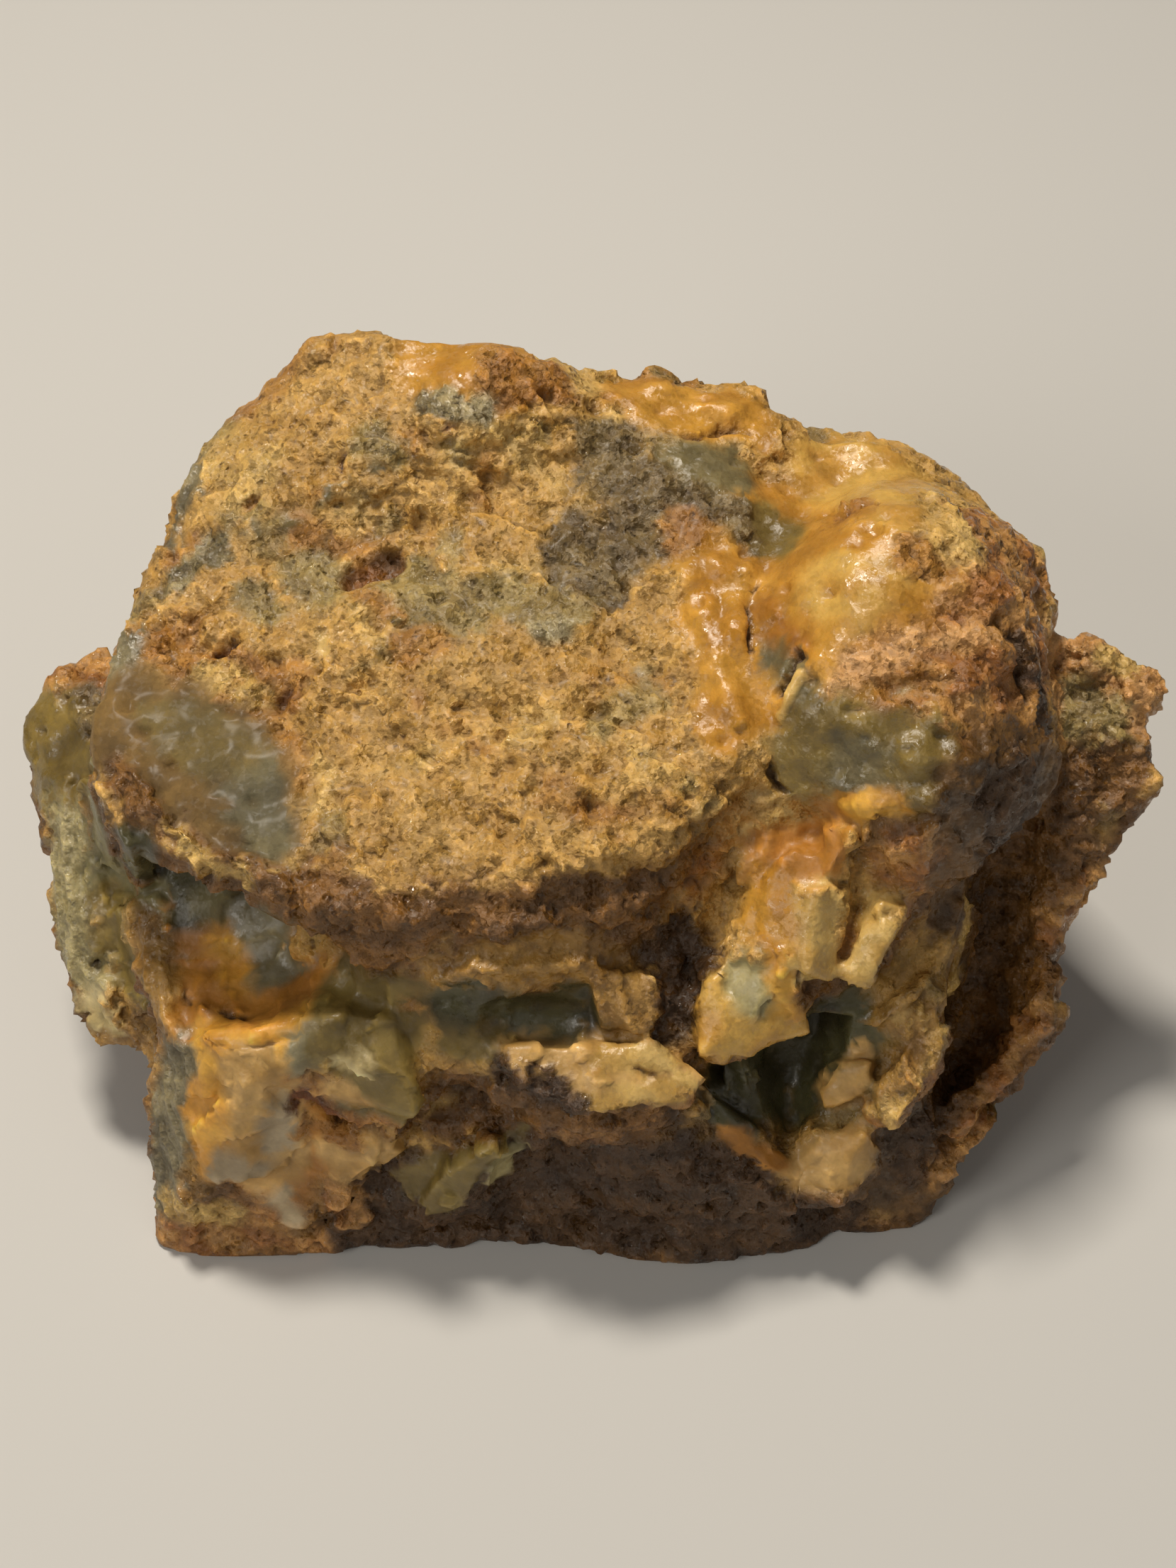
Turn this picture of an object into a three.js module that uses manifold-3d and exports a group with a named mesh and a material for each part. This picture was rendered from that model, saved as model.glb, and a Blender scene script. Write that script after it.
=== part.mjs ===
// A raw lump of jasper: one weathered, rust-stained block of chalcedony with a sloping crusted top,
// a waxy dome at the right, broken ledges at the front and shell-shaped fracture hollows.
// Units are millimetres, +X is the stone's right, +Y its back and +Z is up.
import * as THREE from 'three';
import { ConvexGeometry } from 'three/addons/geometries/ConvexGeometry.js';
import { ConvexHull } from 'three/addons/math/ConvexHull.js';
import { ImprovedNoise } from 'three/addons/math/ImprovedNoise.js';
import { mergeVertices } from 'three/addons/utils/BufferGeometryUtils.js';
import Module from 'manifold-3d';

const wasm = await Module();
wasm.setup();

// Driving dimensions
const FACET = 2.7;            // edge of a facet on the weathered skin
const SUNK = 4;               // depth of stone below the resting plane, cut away at the end
const CREASE = 1.6;           // width over which the crease between two chunks is filled
const SWELL = { size: 15, height: 1.6 };     // broad unevenness of the skin
const KNOBBLE = { size: 6, height: 0.7 };    // smaller unevenness
const ROOM = { min: [-64, -46, -SUNK - 4], max: [64, 48, 76] };   // space that holds the whole stone
const WELD = 1e-3;                           // corners nearer than this are one corner
const SLIVER = 0.16;                         // facets thinner than this are merged into their neighbours
const GROUND = { side: 300, depth: 100 };    // what is cut away to leave the flat underside

// Chunks: convex blocks that the stone is grown from, each by its corners
const CHUNKS = {
  heart: [
    [-32, -26, -SUNK], [24, -28, -SUNK], [32, 8, -SUNK], [22, 24, -SUNK], [-26, 20, -SUNK],
    [-30, -10, 30], [26, -10, 30], [22, 15, 36], [-26, 15, 36],
  ],
  mass: [
    [-35, 26, 58], [-22, 29, 62], [-8, 30, 61], [2, 29.5, 60.5], [14, 29.5, 57.5],
    [-41, 17, 54.5], [-44.5, 6, 51], [-46, -4, 48],
    [-45, -8, 46], [-40, -15, 43.5], [-28, -21, 42.5], [-14, -22, 44], [-2, -21, 45], [8, -16, 46],
    [13.5, -11, 48], [14.5, 0, 52.5], [15, 15, 57],
    [-40, -29, -SUNK], [14, -29, -SUNK], [-38, 30, 36], [-20, 38, 34], [10, 39, 34], [18, 36, 30],
    [-34, 24, -SUNK], [0, 32, -SUNK], [20, 26, -SUNK], [-47, 10, 30], [-46, -12, 15],
  ],
  crestBlock: [
    [-36, 25.5, 58.5], [-28, 30, 63.5], [-20, 30, 66], [-13, 28.5, 65.8], [-3, 27, 62], [-8, 20, 61.5],
    [-23, 13, 59.5], [-33, 11, 56.5], [-43, 11, 53], [-39, 30, 40], [-10, 31, 40], [-20, 14, 45],
  ],
  shoulder: [
    [4, 30, 60.8], [14.5, 30, 58.3], [19, 27.5, 55.3], [22, 26.5, 55], [26, 24, 53.3], [33, 22.5, 52.8],
    [38, 21, 53], [42.5, 16.5, 51.3], [45, 8, 48.5], [14, 10, 51], [30, 0, 46], [18, 20, 40], [40, 10, 35],
  ],
  saddle: [
    [11, 17, 57], [19, 17, 56], [11, -11, 47.5], [19, -11, 45], [11, 1, 52.5], [19, 1, 50.5],
    [11, 17, 40], [19, 17, 40], [11, -11, 36], [19, -11, 36],
  ],
  rightBody: [
    [12, 30, 53], [26, 24, 51], [38, 19, 49], [43, 14, 45], [46, 6, 41], [50, 4, 34], [49, -9, 27],
    [46.5, -17, 19], [40.5, -25, 9], [31, -33, -SUNK], [12, -33.5, -SUNK], [14, -23, 31], [24, -17, 36],
    [34, -8, 40], [16, -10, 45], [16, 6, 53], [40, 24, 20], [30, 30, -SUNK], [42, 8, -SUNK],
  ],
  backBody: [
    [2, 36, 50], [20, 29.5, 55.5], [37, 23, 52.5], [43, 17, 49], [-14, 38.5, 33], [10, 40, 36],
    [31, 33, 38], [43, 24, 32], [31, 33, 8], [-10, 37, 14], [35, 26, -SUNK], [-6, 33, -SUNK],
    [10, 10, 30], [34, 8, 30],
  ],
  knob: [
    [45.5, 9.5, 45], [49.5, 9, 46], [54, 6.5, 45.5], [56.5, 3, 42.3], [56, -1, 39], [53.3, -4.5, 35],
    [50.5, -8, 28], [40, 8, 36], [40, -4, 34], [47, 8, 28], [44, -6, 24],
  ],
  leftMass: [
    [-49, 15, 38], [-54.5, 12, 37.3], [-57.5, 7.5, 33.5], [-54, 2, 30], [-52, -5, 26.5], [-52.5, -12, 17.5],
    [-51, -16, 12], [-45, -18.5, 13], [-40, 18, 34], [-38, -5, 38], [-38, -12, 12], [-42, 14, 14],
  ],
  block: [
    [-40, -23.5, 24.5], [-33, -25.5, 25.5], [-23, -24.5, 29], [-44, -25, 16], [-44, -31, 5],
    [-43.5, -33.5, -SUNK], [-38, -35, -SUNK], [-26, -35.5, -SUNK], [-22, -31, 12], [-20, -28, 20],
    [-38, -8, 24], [-18, -8, 26], [-40, -8, -SUNK], [-20, -12, -SUNK],
  ],
  flake: [
    [-23.5, -24, 30], [-15, -23, 31], [-12.5, -26.5, 24], [-15.5, -31.5, 20.5], [-21.5, -31.5, 19],
    [-18, -10, 28], [-20, -16, 12],
  ],
  shard: [
    [-17.5, -35, 7], [-13, -35.5, 8.5], [-10, -34, 14], [-6, -32.5, 16.5], [-7, -33.5, 12], [-14, -28, 12],
    [-8, -26, 10],
  ],
  ledge: [
    [-16, -20.5, 36], [7, -19.5, 33.5], [9, -26, 27.5], [10.5, -29.5, 22.5], [1, -32.3, 22], [-9, -30, 23],
    [-18, -26, 28], [-14, -8, 34], [6, -8, 32], [-10, -24, 14], [8, -24, 12],
  ],
  foot: [
    [-28, -34, -SUNK], [13, -34.5, -SUNK], [-10, -29, 19], [9, -28.5, 20], [-14, -10, 20], [10, -10, 20],
    [19.5, -32.5, 12.5], [27, -34.5, -SUNK], [-22, -30, 8],
  ],
  wedge: [
    [10, -25, 30], [10.8, -28.3, 26.5], [12, -30, 25.6], [20.6, -26, 28.8], [20.4, -21, 33.5],
    [14.5, -21, 35], [16, -14, 42], [22, -14, 42], [14, -8, 32], [22, -8, 32],
  ],
};

// Lumps: rounded or splintered swellings, by centre, half sizes and turn in degrees
const LUMPS = {
  dome: { at: [29.5, 3, 44.2], half: [15.5, 20.5, 16], turn: [25, 0, 0] },
  crestKnob: { at: [-8, 25, 57], half: [12, 6.5, 9], turn: [0, 18, 0] },
  leftFinger: { at: [21, -18, 36.5], half: [3, 3.5, 7.5], turn: [-38, 0, 0] },
  rightFinger: { at: [26.6, -18, 33.5], half: [2.6, 3.5, 6.5], turn: [-40, 24, 0] },
  upperSplinter: { at: [35.8, -15.5, 28], half: [2.6, 4.5, 6], turn: [-50, 20, 0] },
  middleSplinter: { at: [31.5, -20, 24.5], half: [2.4, 4.5, 6], turn: [-35, 60, 0] },
  lowerSplinter: { at: [30.8, -23.5, 19.5], half: [2.2, 4.5, 8], turn: [-31, 27, 0] },
  footChip: { at: [23, -29.5, 11.5], half: [4.8, 4.5, 4.5], turn: [0, 0, 20] },
};

// Valleys: old gullies with worn edges, by centre, half sizes and turn in degrees
const VALLEYS = {
  gully: { at: [11.5, -20.5, 42], half: [2.8, 6, 14], turn: [-31, 13, 0] },
  rightGully: { at: [39.5, -17, 23], half: [4.6, 8, 22], turn: [-36, 7, 0] },
  knobGap: { at: [46, -1, 46], half: [2.6, 9, 5], turn: [20, 0, -10] },
};

// Shells: fresh, sharp-edged fracture hollows, given in the same way
const SHELLS = {
  leftShell: { at: [-40, -31, 34], half: [21, 20, 9], turn: [0, 0, 0] },
  ledgePool: { at: [-4, -30.5, 32], half: [9, 7, 4.2], turn: [-20, 0, 0] },
  pocket: { at: [-24.5, -32, 20.5], half: [5.5, 5, 2.4], turn: [-35, -12, 0] },
  backShell: { at: [-8, 63, 31], half: [30, 28, 22], turn: [8, 0, 10], round: 6 },
  backLeftShell: { at: [-56, 40, 16], half: [24, 22, 22], turn: [0, 0, 30], round: 5 },
  backRightShell: { at: [55, 38, 10], half: [23, 20, 20], turn: [0, 0, -30], round: 5 },
  flankShell: { at: [66, 0, 10], half: [22, 20, 17], turn: [0, 0, 0], round: 5 },
};

// Clefts: sharp-cornered recesses, each by its corners
const CLEFTS = {
  underWedge: [
    [11.8, -33, 25], [20.4, -30, 28.3], [27, -29, 26], [25, -34, 14], [19.5, -36, 10], [12.5, -36, 20],
    [16, -19, 24], [24, -17, 24], [19.5, -23, 13],
  ],
};

// Where a turned ball sits.
function placeOf({ at, turn }) {
  const angles = new THREE.Euler(...turn.map(THREE.MathUtils.degToRad));
  return new THREE.Matrix4().makeRotationFromEuler(angles).setPosition(...at);
}

// Depth fields: how far a point lies outside a shape, and below zero within it.
function blockField(corners) {
  const hull = new ConvexHull().setFromPoints(corners.map((c) => new THREE.Vector3(...c)));
  return (point) => {
    let outside = -Infinity;
    for (const face of hull.faces) {
      outside = Math.max(outside, face.distanceToPoint(point));
    }
    return outside;
  };
}

function ballField({ at, half, turn }) {
  const toBall = placeOf({ at, turn }).invert();
  const radii = new THREE.Vector3(...half);
  const local = new THREE.Vector3();
  return (point) => {
    local.copy(point).applyMatrix4(toBall).divide(radii);
    const share = local.length();
    return share * (share - 1) / Math.max(local.divide(radii).length(), WELD);
  };
}

// The nearer of two shapes, with the crease between them filled.
function join(a, b) {
  const fill = Math.max(CREASE - Math.abs(a - b), 0) / CREASE;
  return Math.min(a, b) - fill * fill * CREASE / 4;
}

// The weathered skin: chunks and lumps joined, valleys worn into them, and unevenness raised on the whole.
function weathered() {
  const grown = [...Object.values(CHUNKS).map(blockField), ...Object.values(LUMPS).map(ballField)];
  const worn = Object.values(VALLEYS).map(ballField);
  const noise = new ImprovedNoise();
  const point = new THREE.Vector3();
  const height = ([x, y, z]) => {
    point.set(x, y, z);
    let outside = Infinity;
    for (const field of grown) {
      outside = join(outside, field(point));
    }
    for (const field of worn) {
      outside = -join(-outside, field(point));
    }
    for (const rise of [SWELL, KNOBBLE]) {
      outside -= rise.height * noise.noise(x / rise.size, y / rise.size, z / rise.size);
    }
    return -outside;
  };
  return wasm.Manifold.levelSet(height, ROOM, FACET);
}

// A closed mesh as a solid that can be joined and cut.
function solidOf(geometry) {
  const bare = geometry.clone();
  bare.deleteAttribute('normal');
  bare.deleteAttribute('uv');
  const merged = mergeVertices(bare, WELD);
  return new wasm.Manifold(new wasm.Mesh({
    numProp: 3,
    vertProperties: new Float32Array(merged.attributes.position.array),
    triVerts: new Uint32Array(merged.index.array),
  }));
}

function chunk(corners) {
  return solidOf(new ConvexGeometry(corners.map((c) => new THREE.Vector3(...c))));
}

function ball({ at, half, turn, round = 4 }) {
  const geometry = new THREE.IcosahedronGeometry(1, round).scale(...half);
  return solidOf(geometry.applyMatrix4(placeOf({ at, turn })));
}

function makeStone() {
  let solid = weathered();
  for (const shell of Object.values(SHELLS)) {
    solid = solid.subtract(ball(shell));
  }
  for (const corners of Object.values(CLEFTS)) {
    solid = solid.subtract(chunk(corners));
  }
  const ground = new THREE.BoxGeometry(GROUND.side, GROUND.side, GROUND.depth);
  ground.translate(0, 0, -GROUND.depth / 2);
  solid = solid.subtract(solidOf(ground)).asOriginal().simplify(SLIVER);
  const pieces = solid.decompose();
  pieces.sort((a, b) => b.volume() - a.volume());
  const mesh = pieces[0].getMesh();
  const geometry = new THREE.BufferGeometry();
  geometry.setAttribute('position', new THREE.BufferAttribute(mesh.vertProperties, 3));
  geometry.setIndex(new THREE.BufferAttribute(mesh.triVerts, 1));
  return geometry;
}

const geometry = makeStone();
geometry.computeBoundingBox();
const middle = geometry.boundingBox.getCenter(new THREE.Vector3());
geometry.translate(-middle.x, -middle.y, -geometry.boundingBox.min.z);
geometry.computeVertexNormals();

const jasper = new THREE.Mesh(geometry, new THREE.MeshStandardMaterial({
  color: 0x9a7440,
  roughness: 0.45,
  metalness: 0,
}));
jasper.name = 'jasper';

const stone = new THREE.Group();
stone.add(jasper);

export default stone;
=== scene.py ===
# %% [markdown]
# # A raw lump of jasper
# Jasper is quartz with so much clay and iron in it that it turns opaque, yellow, brown and red. This
# lump is as it came out of the ground: a porous rust-coloured crust on top, a waxy dome at the right,
# and glassy fracture faces where it broke. The solid model already holds the big forms. This script
# gives it its skin: relief, colours, gloss, light and a camera.

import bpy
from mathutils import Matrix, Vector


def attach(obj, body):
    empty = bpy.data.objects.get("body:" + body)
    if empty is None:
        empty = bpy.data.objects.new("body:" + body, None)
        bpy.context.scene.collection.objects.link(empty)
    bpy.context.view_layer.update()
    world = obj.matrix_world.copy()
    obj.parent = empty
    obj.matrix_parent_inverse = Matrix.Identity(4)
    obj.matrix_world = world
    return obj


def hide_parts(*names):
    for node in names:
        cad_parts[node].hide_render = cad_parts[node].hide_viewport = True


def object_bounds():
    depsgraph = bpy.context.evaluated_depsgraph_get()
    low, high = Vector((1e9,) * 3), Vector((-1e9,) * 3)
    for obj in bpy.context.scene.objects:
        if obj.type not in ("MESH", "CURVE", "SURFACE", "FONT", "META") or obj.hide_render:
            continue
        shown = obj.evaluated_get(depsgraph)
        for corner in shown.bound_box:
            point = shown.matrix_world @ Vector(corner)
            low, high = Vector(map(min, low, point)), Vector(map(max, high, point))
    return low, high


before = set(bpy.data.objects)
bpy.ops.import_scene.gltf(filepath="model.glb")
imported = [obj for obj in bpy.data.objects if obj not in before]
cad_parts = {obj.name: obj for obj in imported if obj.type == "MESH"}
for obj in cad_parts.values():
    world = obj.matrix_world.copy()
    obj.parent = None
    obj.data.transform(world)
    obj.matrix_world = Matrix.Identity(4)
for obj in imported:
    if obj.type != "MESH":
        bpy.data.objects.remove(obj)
cad_box = [list(corner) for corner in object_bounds()]
print("solid model, in mm:", [round((b - a) * 1000, 1) for a, b in zip(*cad_box)])

# %% Tools and units
import math

import bmesh
import bpy
import numpy as np
from mathutils import Matrix, Vector, noise
from mathutils.bvhtree import BVHTree

MM = 0.001
scene = bpy.context.scene

# %% [markdown]
# ## The camera
# The camera comes first, because the patches of the stone are placed by where they show in the picture.
# The picture was taken from in front and above, from close by, with a slightly long lens.

# %% Camera
PICTURE = (1659, 2212)              # width and height of the picture, in pixels
LENS, SENSOR = 56.0, 36.0           # focal length and the sensor's long side, in mm
ELEVATION = math.radians(50)
DISTANCE = 240 * MM
AIM = Vector((0.14, -2.36, 33.0)) * MM
CLIP = (0.01, 10)                   # the nearest and the farthest thing it sees, in m

back = Vector((0, -math.cos(ELEVATION), math.sin(ELEVATION)))
up = Vector((0, math.sin(ELEVATION), math.cos(ELEVATION)))
lens = bpy.data.cameras.new("camera")
lens.lens, lens.sensor_width = LENS, SENSOR
lens.clip_start, lens.clip_end = CLIP
camera = bpy.data.objects.new("camera", lens)
camera.location = AIM + back * DISTANCE
camera.rotation_mode = "QUATERNION"
camera.rotation_quaternion = (-back).to_track_quat("-Z", "Y")
scene.collection.objects.link(camera)
scene.camera = camera
print("camera at, in mm:", [round(c / MM) for c in camera.location])

# %% [markdown]
# ## The solid, merged
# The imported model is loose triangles. A merged copy in a bmesh is one closed skin, and a search tree
# over it answers the question "which point of the stone shows at this place of the picture?" by
# shooting a ray from the camera.

# %% Merged copy and the ray that finds a place on it
SAME_PLACE = 0.001 * MM             # corners closer together than this are one
FOCAL = LENS / SENSOR * PICTURE[1]  # focal length in pixels

skin = bmesh.new()
skin.from_mesh(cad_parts["jasper"].data)
bmesh.ops.remove_doubles(skin, verts=skin.verts, dist=SAME_PLACE)
tree = BVHTree.FromBMesh(skin)


def on_stone(x, y):
    """The point of the stone that shows at this pixel of the picture, and its normal.

    A pixel beside the stone gives the point that lies nearest to it.
    """
    ray = -back + Vector((x - PICTURE[0] / 2, 0, 0)) / FOCAL - up * ((y - PICTURE[1] / 2) / FOCAL)
    place, normal, _, _ = tree.ray_cast(camera.location, ray.normalized())
    if place is None:
        place, normal, _, _ = tree.find_nearest(camera.location + ray * DISTANCE)
    return place, normal


print("merged skin:", len(skin.verts), "corners; centre of the picture is at",
      [round(c / MM, 1) for c in on_stone(*[side / 2 for side in PICTURE])[0]])

# %% [markdown]
# ## Slabs
# The front of the stone and its left edge are broken into angular pieces: the facets of the lower left
# block and its olive flake, the shard, the rim and the lip of the ledge, the wedge with its fingers,
# splinters and blades. Each is a convex hull of a few corners. A corner is a place of the picture and
# how far it stands off the stone there, so the slab follows the picture's outline and still grows out
# of the stone behind it.

# %% Add the slabs
SLABS = [
    # thickness in mm, and corners: x and y in the picture, height off the stone in mm
    # the lower left block: front, bevel, right face, olive flake, lobes
    (6, [(217, 1600, 0.2), (228, 1520, 0.5), (262, 1518, 1.4), (305, 1520, 2.6), (350, 1512, 3.8),
         (400, 1500, 2.2), (425, 1545, 0.8), (432, 1690, 0.4), (358, 1620, 3.2), (352, 1690, 1.2),
         (300, 1690, 1.4), (258, 1700, 0.8), (226, 1740, 0.2)]),
    (5, [(250, 1470, 0.8), (290, 1458, 2.4), (345, 1468, 2.8), (400, 1446, 3.0), (400, 1495, 2.4),
         (350, 1514, 3.6), (300, 1520, 2.4), (258, 1510, 1.2)]),
    (5, [(395, 1447, 3.0), (488, 1421, 3.0), (470, 1500, 1.4), (421, 1540, 1.0), (395, 1505, 2.6)]),
    (3, [(488, 1421, 1.9), (556, 1436, 1.6), (580, 1510, 2.2), (587, 1565, 3.6), (556, 1602, 3.4),
         (470, 1562, 1.8), (425, 1535, 1.2)]),
    (4, [(445, 1600, 1.0), (510, 1600, 1.4), (575, 1630, 1.2), (540, 1665, 1.0), (470, 1655, 1.2)]),
    (4, [(375, 1670, 0.9), (433, 1665, 1.2), (440, 1720, 0.9), (385, 1735, 0.6)]),
    (4, [(465, 1660, 1.0), (520, 1665, 1.2), (515, 1730, 0.8), (475, 1735, 0.6)]),
    # the shard in front of it
    (4, [(578, 1729, 1.0), (640, 1655, 2.6), (689, 1604, 3.6), (714, 1614, 3.4), (710, 1671, 2.6),
         (674, 1711, 1.8)]),
    (3, [(714, 1618, 2.0), (738, 1640, 1.0), (735, 1672, 0.8), (708, 1680, 1.2)]),
    # the ledge: rim, ribbed end, lip, chips under it
    (4, [(603, 1386, 1.0), (667, 1362, 1.8), (774, 1352, 1.8), (846, 1352, 1.8), (820, 1392, 0.6),
         (660, 1398, 0.4)]),
    (4, [(831, 1357, 1.6), (903, 1368, 2.0), (931, 1393, 2.0), (917, 1457, 2.0), (850, 1450, 1.0)]),
    (5, [(710, 1478, 0.8), (867, 1479, 1.6), (924, 1466, 1.6), (978, 1521, 2.4), (960, 1550, 2.6),
         (903, 1561, 2.6), (824, 1571, 2.4), (735, 1530, 1.4)]),
    (2, [(724, 1566, 1.4), (781, 1580, 1.6), (760, 1594, 1.0)]),
    # the wedge, the two fingers and the brown face under them
    (6, [(985, 1436, 1.6), (1003, 1379, 1.6), (1060, 1343, 1.6), (1124, 1336, 1.6), (1135, 1443, 2.6),
         (1017, 1514, 2.8), (992, 1479, 2.0)]),
    (4, [(1131, 1293, 1.2), (1153, 1250, 1.4), (1196, 1264, 1.2), (1185, 1375, 2.6),
         (1139, 1364, 2.4)]),
    (4, [(1239, 1268, 1.6), (1274, 1275, 1.4), (1246, 1321, 2.0), (1214, 1379, 2.6),
         (1189, 1371, 2.0)]),
    (3, [(1080, 1240, 0.8), (1120, 1200, 1.4), (1160, 1215, 1.2), (1120, 1330, 1.2),
         (1070, 1330, 0.8)]),
    (3, [(1160, 1160, 1.0), (1210, 1165, 1.4), (1200, 1240, 1.6), (1160, 1235, 1.4)]),
    # ridges and splinters at the right of the cleft
    (3, [(1355, 1270, 1.0), (1375, 1285, 1.6), (1372, 1325, 1.8), (1346, 1388, 2.0),
         (1325, 1370, 1.0)]),
    (3, [(1346, 1386, 2.0), (1289, 1414, 2.2), (1245, 1448, 2.0), (1255, 1420, 1.0),
         (1320, 1370, 1.0)]),
    (3, [(1342, 1425, 1.4), (1296, 1529, 2.4), (1267, 1564, 2.2), (1224, 1564, 1.2), (1231, 1521, 1.6),
         (1274, 1479, 2.0)]),
    (3, [(1178, 1507, 1.6), (1224, 1493, 2.0), (1221, 1536, 2.0), (1167, 1564, 1.6)]),
    (4, [(1117, 1664, 1.0), (1167, 1604, 2.0), (1221, 1600, 2.2), (1231, 1629, 2.0), (1217, 1686, 1.2),
         (1160, 1690, 0.8)]),
    (2, [(981, 1529, 1.0), (1031, 1585, 1.8), (1074, 1600, 2.0), (1114, 1657, 1.4), (1060, 1645, 0.6),
         (1015, 1590, 0.6)]),
    (3, [(1250, 1200, 1.0), (1300, 1175, 1.6), (1325, 1150, 1.4), (1300, 1230, 1.4),
         (1265, 1245, 1.2)]),
    # the right flank
    (3, [(1553, 1229, 0.8), (1525, 1275, 1.4), (1475, 1330, 1.4), (1489, 1286, 0.8)]),
    (3, [(1481, 1405, 0.8), (1470, 1440, 1.4), (1420, 1500, 1.4), (1410, 1470, 0.8)]),
    (3, [(1453, 1505, 0.8), (1425, 1570, 1.4), (1380, 1620, 1.4), (1390, 1570, 0.8)]),
    (3, [(1396, 1614, 0.8), (1345, 1680, 1.2), (1320, 1690, 0.6), (1350, 1630, 1.0)]),
    # the broken edge above the shell-shaped hollow
    (3, [(158, 1075, 0.8), (190, 1085, 1.6), (236, 1150, 1.8), (222, 1172, 1.4), (180, 1130, 0.8)]),
    (3, [(226, 1150, 1.2), (262, 1172, 1.8), (300, 1215, 1.8), (290, 1236, 1.2), (240, 1190, 0.8)]),
    (3, [(296, 1210, 1.2), (345, 1205, 1.6), (400, 1240, 1.6), (405, 1266, 1.2), (330, 1250, 0.8)]),
    (2, [(110, 1105, 0.8), (150, 1100, 1.6), (196, 1190, 1.6), (190, 1262, 1.0), (140, 1215, 1.2)]),
    # the blades along the left edge
    (2, [(60, 1085, 0.4), (95, 1095, 1.2), (112, 1300, 1.4), (100, 1380, 1.2), (88, 1375, 0.4)]),
    (2, [(112, 1120, 0.6), (140, 1140, 1.4), (148, 1330, 1.4), (122, 1362, 1.0)]),
    (2, [(118, 1370, 0.8), (158, 1382, 1.6), (170, 1455, 1.2), (130, 1462, 0.6)]),
    (2, [(150, 1290, 0.6), (178, 1285, 1.4), (210, 1430, 1.4), (185, 1440, 0.8)]),
    (2, [(190, 1350, 0.6), (220, 1380, 1.2), (248, 1470, 1.0), (225, 1490, 0.6)]),
]


def add_slab(thickness, corners):
    """Adds an angular chip whose outer face has these corners."""
    face = []
    for x, y, height in corners:
        place, normal = on_stone(x, y)
        face.append(place + (normal + back).normalized() * height * MM)
    outward = sum((a.cross(b) for a, b in zip(face, face[1:] + face[:1])), Vector()).normalized()
    if outward.dot(back) < 0:
        outward = -outward
    points = face + [corner - outward * thickness * MM for corner in face]
    hull = bmesh.ops.convex_hull(skin, input=[skin.verts.new(point) for point in points])
    buried = [part for part in hull["geom_interior"] if isinstance(part, bmesh.types.BMVert)]
    bmesh.ops.delete(skin, geom=buried, context="VERTS")


for slab in SLABS:
    add_slab(*slab)
print(len(SLABS), "slabs added")

# %% [markdown]
# ## Ribs and crumbs
# Rounder swellings hang over the fold beside the dome, along the lip at the left and along the crest.
# Each is a small ball stretched between two places of the picture, half buried and with its corners
# shaken, so that no two look alike. The shake is read from a plain noise for each axis, because
# Blender's vector noise changes from run to run.

# %% Add the ribs
RIBS = [
    # from, to, width and height in mm, how far it is sunk in mm
    # the fold beside the dome
    ((985, 840), (1000, 900), 3.4, 1.5, 0.3), ((1000, 890), (1022, 960), 3.0, 1.4, 0.3),
    ((1020, 950), (1042, 1030), 3.0, 1.4, 0.3), ((1040, 840), (1034, 920), 2.6, 1.4, 0.3),
    ((965, 800), (975, 840), 3.4, 1.2, 0.4), ((1000, 790), (1040, 815), 3.4, 1.4, 0.4),
    ((950, 880), (970, 960), 3.0, 1.0, 0.4), ((1052, 790), (1058, 830), 2.4, 1.2, 0.3),
    # the crest
    ((905, 555), (960, 560), 5.0, 2.0, 1.0), ((975, 565), (1050, 585), 4.6, 2.0, 1.0),
    # the lip
    ((170, 1105), (215, 1160), 3.4, 2.2, 0.6), ((220, 1165), (270, 1215), 3.6, 2.2, 0.6),
    ((275, 1215), (330, 1235), 3.6, 2.0, 0.6), ((340, 1235), (410, 1262), 3.4, 2.0, 0.6),
    ((430, 1265), (520, 1285), 4.0, 2.0, 0.8), ((540, 1290), (660, 1300), 4.4, 2.0, 0.8),
    ((680, 1300), (800, 1295), 4.0, 2.0, 0.8), ((820, 1290), (930, 1260), 4.0, 2.0, 0.8),
    # the right shoulder of the dome and its lower edge
    ((1300, 1000), (1345, 1030), 4.0, 1.8, 0.6), ((1345, 960), (1390, 985), 4.0, 1.8, 0.6),
    ((1400, 830), (1440, 870), 4.6, 1.8, 0.8), ((1390, 900), (1420, 940), 4.0, 1.8, 0.6),
    ((1270, 1050), (1320, 1075), 3.4, 1.6, 0.4), ((1335, 1060), (1380, 1080), 3.4, 1.8, 0.4),
    ((1350, 1110), (1390, 1095), 3.0, 1.8, 0.3), ((1280, 1130), (1330, 1120), 3.0, 1.8, 0.3),
    ((1185, 1137), (1258, 1135), 2.6, 1.6, 0.3),
    # the knob
    ((1510, 940), (1560, 925), 5.0, 1.8, 0.6), ((1570, 960), (1610, 1000), 5.0, 1.8, 0.6),
    ((1500, 990), (1520, 1040), 4.0, 1.6, 0.6), ((1545, 1020), (1580, 1070), 4.0, 1.6, 0.6),
    # the foot of the lower left block
    ((255, 1700), (330, 1715), 3.4, 1.6, 0.4),
]
SHAKE = 0.55 * MM                   # how far a corner strays from a smooth ball
SHAKE_GRAIN = 2 * MM                # the size of the noise that leads it astray
SHAKE_FIELDS = (0.0, 31.7, 63.4)    # where in the noise the shake along each axis is read


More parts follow.
